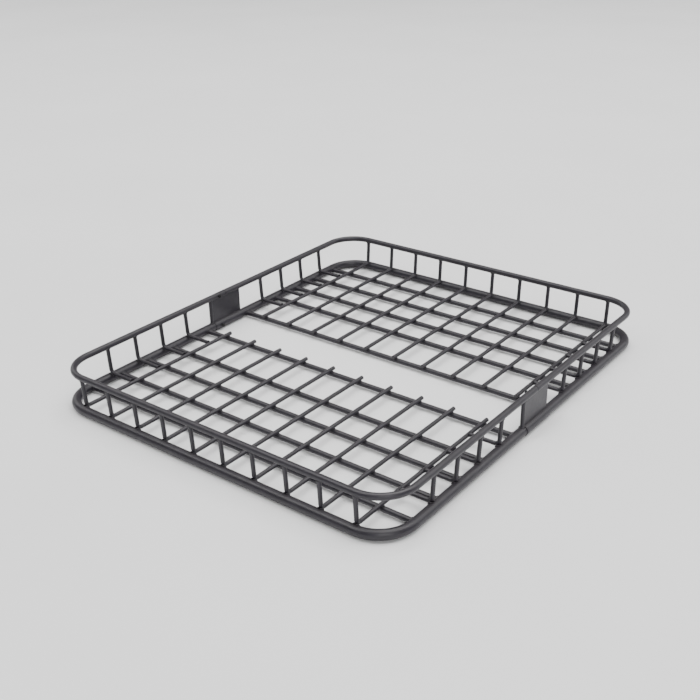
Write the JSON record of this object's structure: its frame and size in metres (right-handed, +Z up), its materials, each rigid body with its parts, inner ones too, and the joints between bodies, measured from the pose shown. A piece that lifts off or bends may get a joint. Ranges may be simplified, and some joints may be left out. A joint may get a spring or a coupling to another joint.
{
  "type": "roof cargo basket",
  "caption": "Two-piece steel tube roof cargo basket: open rod floor, low rail on short posts and bolted side connectors.",
  "frame": {"origin": "centre of the footprint on the surface it rests on", "axes": "+X to the right across the basket, +Y towards the rear half along the basket, +Z up"},
  "size_m": [0.9428, 1.106, 0.101],
  "materials": {
    "powder_coat": "satin charcoal powder coat on steel",
    "black_steel": "black oxide steel"
  },
  "bodies": {
    "root": {"base_tube_front": "powder_coat", "base_tube_rear": "powder_coat", "crossbar_front_1": "powder_coat", "crossbar_front_2": "powder_coat", "crossbar_front_3": "powder_coat", "crossbar_front_4": "powder_coat", "crossbar_front_5": "powder_coat", "crossbar_rear_1": "powder_coat", "crossbar_rear_2": "powder_coat", "crossbar_rear_3": "powder_coat", "crossbar_rear_4": "powder_coat", "crossbar_rear_5": "powder_coat", "floor_rod_front_1": "powder_coat", "floor_rod_front_10": "powder_coat", "floor_rod_front_2": "powder_coat", "floor_rod_front_3": "powder_coat", "floor_rod_front_4": "powder_coat", "floor_rod_front_5": "powder_coat", "floor_rod_front_6": "powder_coat", "floor_rod_front_7": "powder_coat", "floor_rod_front_8": "powder_coat", "floor_rod_front_9": "powder_coat", "floor_rod_rear_1": "powder_coat", "floor_rod_rear_10": "powder_coat", "floor_rod_rear_2": "powder_coat", "floor_rod_rear_3": "powder_coat", "floor_rod_rear_4": "powder_coat", "floor_rod_rear_5": "powder_coat", "floor_rod_rear_6": "powder_coat", "floor_rod_rear_7": "powder_coat", "floor_rod_rear_8": "powder_coat", "floor_rod_rear_9": "powder_coat", "joint_bracket_left": "powder_coat", "joint_bracket_right": "powder_coat", "joint_post_left": "powder_coat", "joint_post_right": "powder_coat", "lower_nuts": "black_steel", "lower_screws": "black_steel", "rail_front": "powder_coat", "rail_rear": "powder_coat", "side_post_front_left_1": "powder_coat", "side_post_front_left_2": "powder_coat", "side_post_front_left_3": "powder_coat", "side_post_front_left_4": "powder_coat", "side_post_front_right_1": "powder_coat", "side_post_front_right_2": "powder_coat", "side_post_front_right_3": "powder_coat", "side_post_front_right_4": "powder_coat", "side_post_rear_left_1": "powder_coat", "side_post_rear_left_2": "powder_coat", "side_post_rear_left_3": "powder_coat", "side_post_rear_left_4": "powder_coat", "side_post_rear_right_1": "powder_coat", "side_post_rear_right_2": "powder_coat", "side_post_rear_right_3": "powder_coat", "side_post_rear_right_4": "powder_coat", "upper_screws": "black_steel", "upper_splice_left": "black_steel", "upper_splice_right": "black_steel"}
  },
  "joints": []
}
